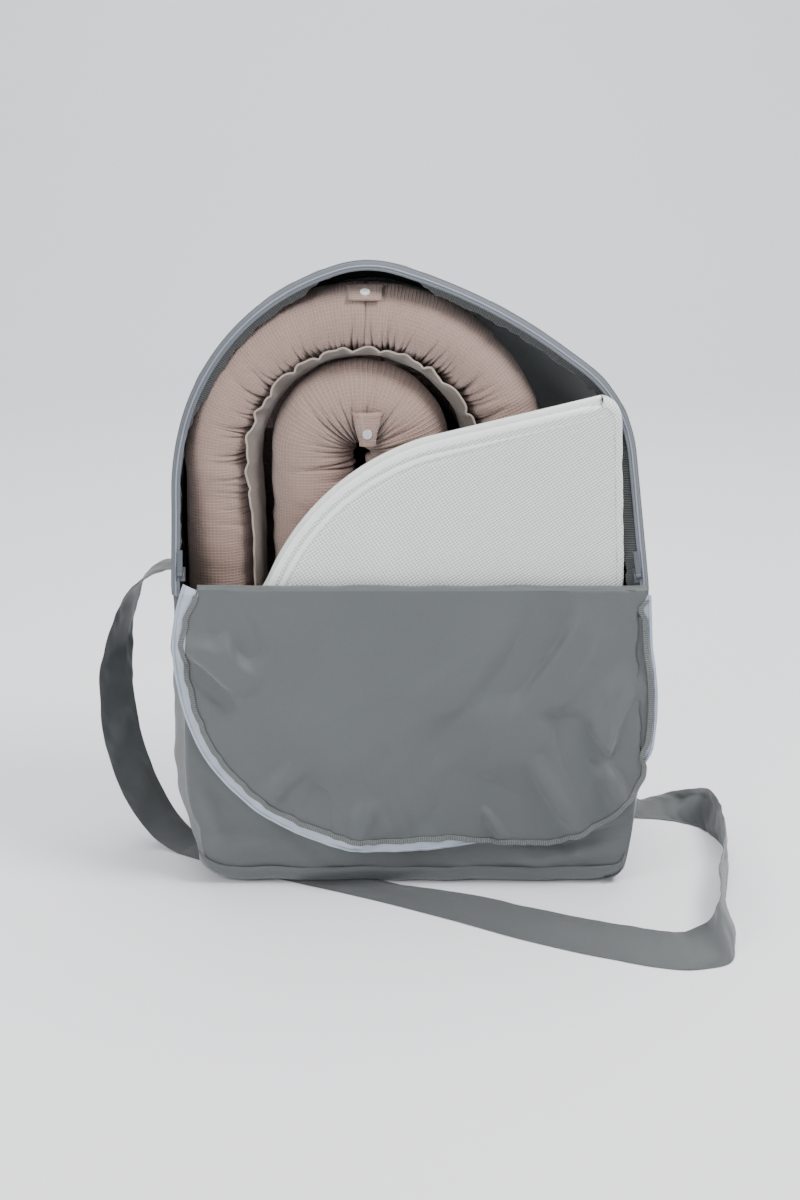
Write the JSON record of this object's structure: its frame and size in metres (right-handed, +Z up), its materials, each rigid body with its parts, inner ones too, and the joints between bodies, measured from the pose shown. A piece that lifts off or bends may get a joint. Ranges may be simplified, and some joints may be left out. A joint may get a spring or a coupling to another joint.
{
  "type": "folding baby nest playpen in carry bag",
  "caption": "Padded baby nest folded upright in its zip bag, with the bag's front open, a folded mesh mattress and a loose shoulder strap.",
  "frame": {"origin": "middle of the bag's flat underside", "axes": "+X to the right seen from the open front, -Y out of the open front, +Z up"},
  "size_m": [0.6654, 0.3894, 0.6357],
  "materials": {
    "bag_fabric": "satin woven polyester",
    "strap_fabric": "satin woven polyester",
    "zip_tape": "woven tape",
    "zip_teeth": "moulded coil",
    "waffle_fabric": "cotton waffle weave",
    "filling": "polyester fibre",
    "floor_fabric": "plain cotton",
    "zip_metal": "plated",
    "snap_cap": "moulded cap",
    "snap_metal": "polished snap",
    "mesh_fabric": "spacer mesh",
    "mattress_binding": "woven binding"
  },
  "bodies": {
    "bag": {"back_panel": "bag_fabric", "front_panel": "bag_fabric", "gusset_left": "bag_fabric", "gusset_right": "bag_fabric", "bottom_panel": "bag_fabric", "zip_tape_body": "zip_tape", "zip_teeth_body": "zip_teeth", "strap_anchor_left": "bag_fabric", "strap_anchor_right": "bag_fabric", "shoulder_strap": "strap_fabric", "bumper_cover_left": "waffle_fabric", "bumper_cover_right": "waffle_fabric", "bumper_filling": "filling", "floor_sheet": "floor_fabric"},
    "flap": {"flap_panel": "bag_fabric", "zip_tape_flap": "zip_tape", "zip_teeth_flap": "zip_teeth", "flap_seam_binding": "bag_fabric"},
    "slider_left": {"slider_left": "zip_metal"},
    "slider_right": {"slider_right": "zip_metal"},
    "pull_left": {"pull_left": "zip_metal"},
    "pull_right": {"pull_right": "zip_metal"},
    "head_tab": {"head_tab": "waffle_fabric", "head_snap": "snap_cap"},
    "foot_tab": {"foot_tab": "waffle_fabric", "foot_snap": "snap_metal"},
    "mattress": {"mattress_front_layer": "mesh_fabric", "mattress_back_layer": "mesh_fabric", "mattress_front_border": "mattress_binding", "mattress_back_border": "mattress_binding", "mattress_fold": "mesh_fabric"}
  },
  "joints": [
    {"name": "flap_fold", "type": "hinge", "parent": "bag", "child": "flap", "pos_m": [0, -0.096, 0.322], "axis": [1, 0, 0], "range_deg": [-178, 0]},
    {"name": "mattress_lift", "type": "slide", "parent": "bag", "child": "mattress", "axis": [0, 0, 1], "range_m": [0, 0.62]},
    {"name": "zip_left", "type": "slide", "parent": "bag", "child": "slider_left", "axis": [0, 0.305, 0.9523], "range_m": [0, 0.05]},
    {"name": "zip_right", "type": "slide", "parent": "bag", "child": "slider_right", "axis": [-0.1182, 0.3029, 0.9457], "range_m": [0, 0.05]},
    {"name": "pull_left_flip", "type": "hinge", "parent": "slider_left", "child": "pull_left", "pos_m": [-0.227, -0.0875, 0.33675], "axis": [1, 0, 0], "range_deg": [0, 120]},
    {"name": "pull_right_flip", "type": "hinge", "parent": "slider_right", "child": "pull_right", "pos_m": [0.22529, -0.08783, 0.3357], "axis": [0.993, 0.0361, 0.1126], "range_deg": [0, 120]},
    {"name": "head_tab_flip", "type": "hinge", "parent": "bag", "child": "head_tab", "pos_m": [-0.044, -0.017, 0.61], "axis": [-1, 0, 0], "range_deg": [0, 35]},
    {"name": "foot_tab_flip", "type": "hinge", "parent": "bag", "child": "foot_tab", "pos_m": [-0.042, -0.0445, 0.488], "axis": [-1, 0, 0], "range_deg": [0, 100]}
  ]
}
